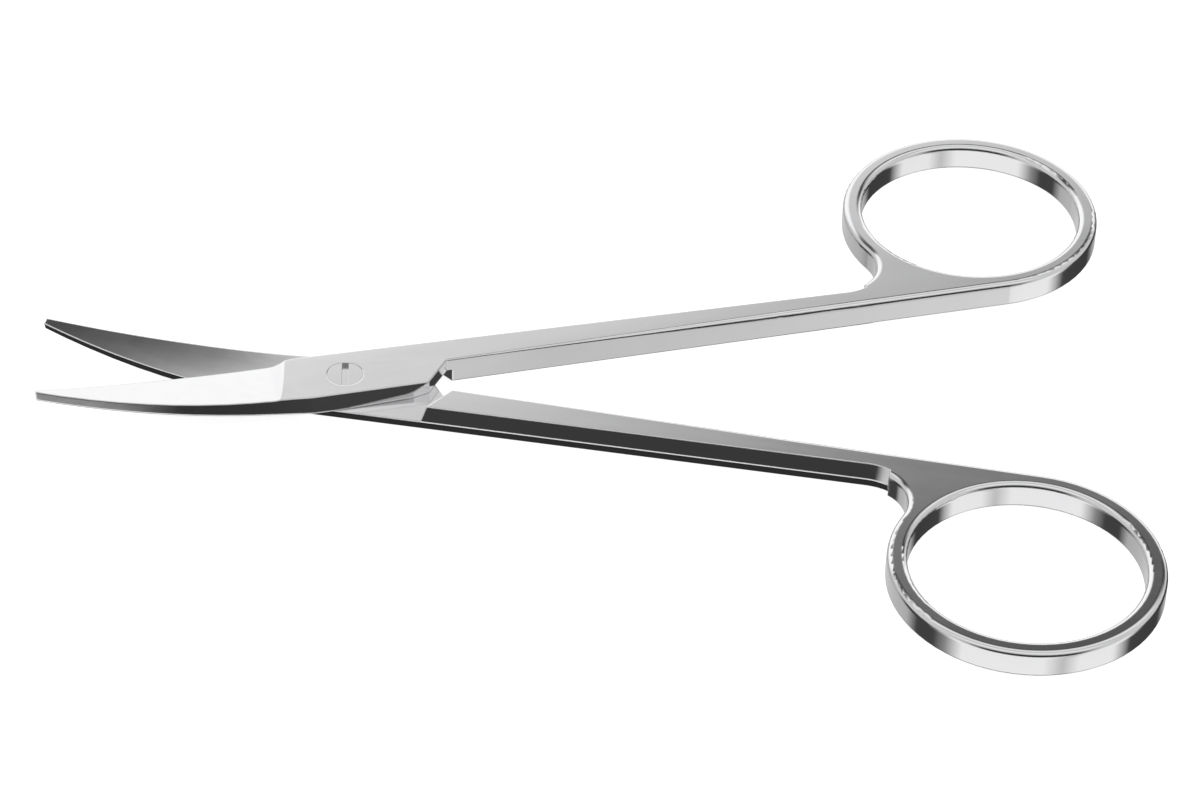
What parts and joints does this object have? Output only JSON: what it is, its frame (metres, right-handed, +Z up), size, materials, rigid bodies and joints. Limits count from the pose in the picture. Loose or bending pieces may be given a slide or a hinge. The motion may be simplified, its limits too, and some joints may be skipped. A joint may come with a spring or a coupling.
{
  "type": "gum scissors",
  "caption": "Slender polished steel gum scissors with upward-curved narrow blades, a flat lap joint on a slotted screw, and round finger rings.",
  "frame": {"origin": "on the pivot axis, in the plane of the underside that the scissors rest on", "axes": "+X runs from the pivot to the finger rings midway between the halves, +Y towards the upper half's ring, +Z up along the pivot screw"},
  "size_m": [0.1098, 0.0844, 0.0055],
  "materials": {
    "polished_steel": "polished",
    "screw_steel": "polished"
  },
  "bodies": {
    "lower": {"lower_half": "polished_steel", "pivot_screw": "screw_steel"},
    "upper": {"upper_half": "polished_steel"}
  },
  "joints": [
    {"name": "pivot", "type": "hinge", "parent": "lower", "child": "upper", "pos_m": [0, 0, 0.0014], "axis": [0, 0, 1], "range_deg": [-25.4, 35]}
  ]
}
